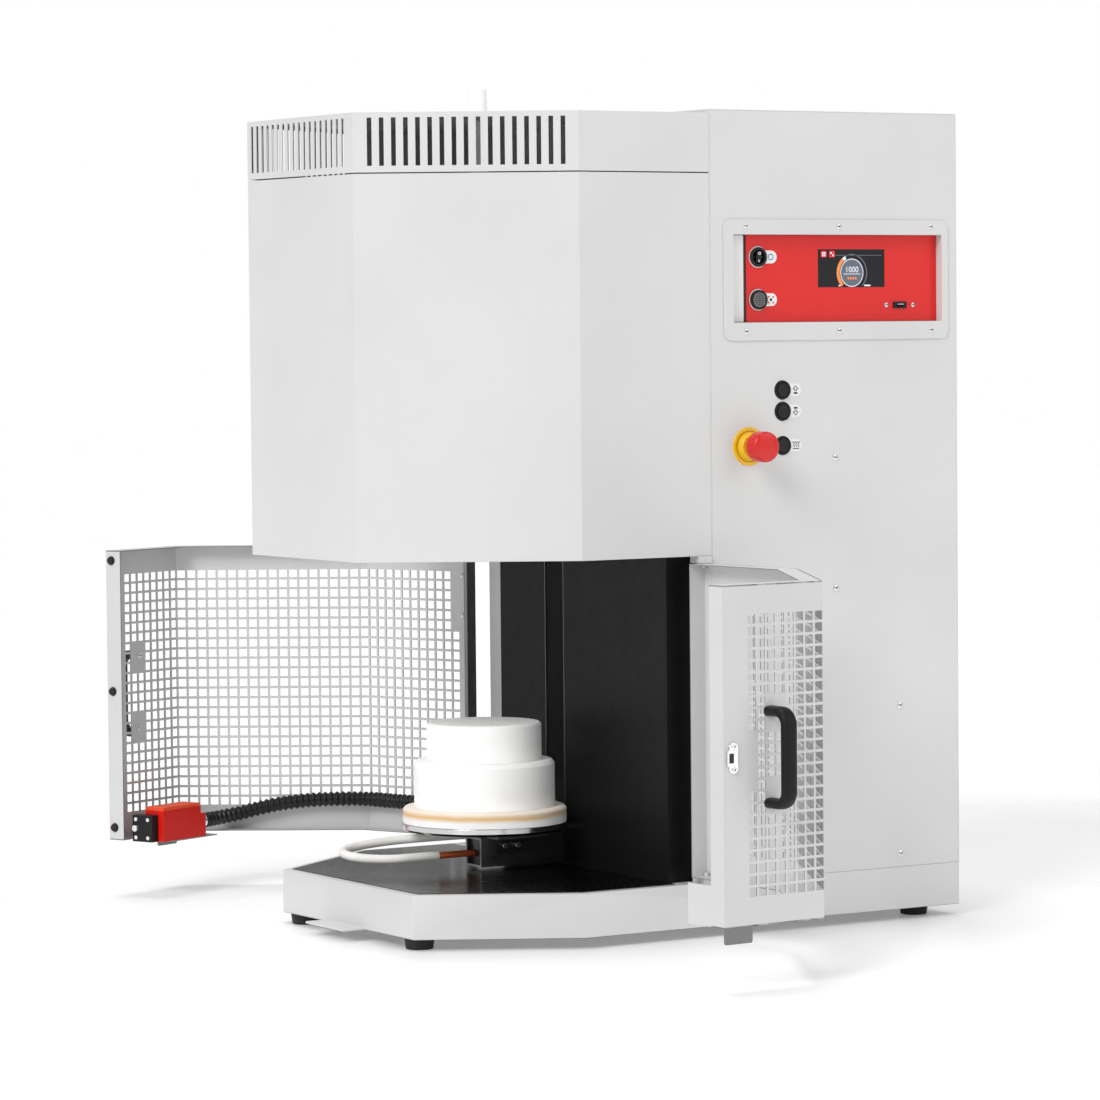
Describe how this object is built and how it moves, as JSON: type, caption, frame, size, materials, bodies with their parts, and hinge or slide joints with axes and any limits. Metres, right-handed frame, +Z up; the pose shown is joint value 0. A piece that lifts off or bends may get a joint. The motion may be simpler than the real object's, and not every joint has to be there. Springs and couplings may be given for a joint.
{
  "type": "bottom loading furnace",
  "caption": "Laboratory furnace whose hearth rises on a motor lift into a heating chamber, behind two hinged perforated guards.",
  "frame": {"origin": "middle of the outline at floor level, guards open", "axes": "+Z up, +Y towards the back, +X to the right along the front with the control panel"},
  "size_m": [0.8606, 1.4264, 1.128],
  "materials": {
    "body_paint": "light grey powder coat",
    "guard_paint": "light grey powder coat",
    "black_cover": "black satin",
    "deck_steel": "dark polished",
    "steel": "machined",
    "dark_steel": "blackened",
    "chrome": "bright",
    "black_plastic": "fine texture",
    "red_plate": "smooth red",
    "red_plastic": "glossy",
    "yellow_plastic": "satin",
    "display": "dark glass-like",
    "refractory": "matte fibre board",
    "rubber": "matte",
    "copper": "bare copper rod",
    "sleeve": "woven glass sleeve",
    "element": "oxidised",
    "board": "circuit board"
  },
  "bodies": {
    "furnace": {"base_pan": "body_paint", "rubber_feet": "rubber", "deck_plate": "deck_steel", "cabinet_wrap": "body_paint", "cabinet_front": "body_paint", "cabinet_rear": "body_paint", "panel_screws": "steel", "instrument_bezel": "body_paint", "bezel_screws": "dark_steel", "instrument_plate": "red_plate", "touch_display": "display", "usb_socket": "steel", "sounder": "black_plastic", "rocker_housing": "black_plastic", "button_rings": "black_plastic", "stop_collar": "yellow_plastic", "head_hood": "body_paint", "vent_band": "body_paint", "vent_spigot": "steel", "chamber_block": "refractory", "roof_block": "refractory", "heating_elements": "element", "thermocouple": "refractory", "guide_rods": "chrome", "bearing_plate": "steel", "lift_motor": "dark_steel", "tower_cover": "black_cover", "transformer": "element", "power_unit": "dark_steel", "control_board": "board", "fan_housing": "black_plastic", "mains_inlet": "black_plastic", "guard_pivots": "body_paint"},
    "front_guard": {"front_guard": "guard_paint", "front_handle": "black_plastic", "front_keeper": "chrome"},
    "rear_guard": {"rear_guard": "guard_paint", "rear_handle": "black_plastic", "guard_buffers": "rubber", "guard_catch": "black_plastic", "interlock_head": "black_plastic", "interlock_body": "red_plastic", "conduit_gland": "chrome", "interlock_conduit": "rubber"},
    "hearth": {"hearth_cap": "refractory", "hearth_step": "refractory", "hearth_flange": "refractory", "hearth_tray": "steel", "lift_arm": "steel", "lug_bolts": "dark_steel", "lift_carriage": "steel", "hearth_rod": "copper", "hearth_cable": "sleeve"},
    "lead_screw": {"lead_screw": "steel"},
    "fan_rotor": {"fan_rotor": "black_plastic"},
    "power_rocker": {"power_rocker": "black_plastic"},
    "up_button": {"up_button": "black_plastic"},
    "down_button": {"down_button": "black_plastic"},
    "hearth_button": {"hearth_button": "black_plastic"},
    "stop_button": {"stop_button": "red_plastic"}
  },
  "joints": [
    {"name": "front_guard_hinge", "type": "hinge", "parent": "furnace", "child": "front_guard", "pos_m": [0.01483, -0.23215, 0.288], "axis": [0, 0, 1], "range_deg": [-94, 6]},
    {"name": "rear_guard_hinge", "type": "hinge", "parent": "furnace", "child": "rear_guard", "pos_m": [0.01483, 0.37185, 0.288], "axis": [0, 0, 1], "range_deg": [-20, 66.5]},
    {"name": "hearth_lift", "type": "slide", "parent": "furnace", "child": "hearth", "axis": [0, 0, 1], "range_m": [0, 0.344]},
    {"name": "lead_screw_turn", "type": "hinge", "parent": "furnace", "child": "lead_screw", "pos_m": [0.06633, 0.07635, 0.288], "axis": [0, 0, 1], "range_deg": [-10, 6202]},
    {"name": "fan_spin", "type": "hinge", "parent": "furnace", "child": "fan_rotor", "pos_m": [0.22883, 0.32335, 0.931], "axis": [0, 1, 0], "continuous": true},
    {"name": "power_rocker_tilt", "type": "hinge", "parent": "furnace", "child": "power_rocker", "pos_m": [0.11133, -0.21965, 0.8975], "axis": [1, 0, 0], "range_deg": [-16, 0]},
    {"name": "up_button_press", "type": "slide", "parent": "furnace", "child": "up_button", "axis": [0, 1, 0], "range_m": [0, 0.003], "stiffness_N_per_m": 400, "springref_m": -0.002},
    {"name": "down_button_press", "type": "slide", "parent": "furnace", "child": "down_button", "axis": [0, 1, 0], "range_m": [0, 0.003], "stiffness_N_per_m": 400, "springref_m": -0.002},
    {"name": "hearth_button_press", "type": "slide", "parent": "furnace", "child": "hearth_button", "axis": [0, 1, 0], "range_m": [0, 0.003], "stiffness_N_per_m": 400, "springref_m": -0.002},
    {"name": "stop_button_press", "type": "slide", "parent": "furnace", "child": "stop_button", "axis": [0, 1, 0], "range_m": [0, 0.006]}
  ],
  "couplings": [
    {"joint": "lead_screw_turn", "follows": "hearth_lift", "rad_per_m": 314.16}
  ]
}
